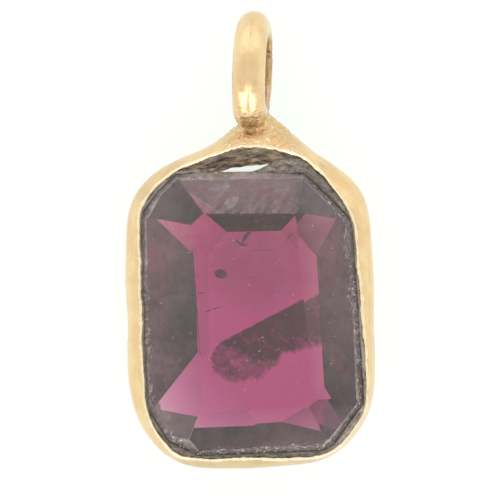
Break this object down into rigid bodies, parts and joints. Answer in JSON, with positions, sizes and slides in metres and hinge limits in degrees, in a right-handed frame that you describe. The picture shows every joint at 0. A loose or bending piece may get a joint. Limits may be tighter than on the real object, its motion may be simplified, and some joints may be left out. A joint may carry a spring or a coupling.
{
  "type": "faceted gemstone charm",
  "caption": "Cut-cornered, step-cut purplish-red stone in a hand-made gold rub-over collet, with a fixed half-round loop soldered on top.",
  "frame": {"origin": "under the middle of the whole charm's bounding box, on the plane of the collet's open back, where it rests", "axes": "+Z out of the stone's table, +Y from the stone to the loop, +X to the right as seen from the front"},
  "size_m": [0.0123, 0.0225, 0.0059],
  "materials": {
    "gold": "worn polish, high-carat yellow gold",
    "gemstone": "polished, see-through, purplish red"
  },
  "bodies": {
    "root": {"setting": "gold", "stone": "gemstone"}
  },
  "joints": []
}
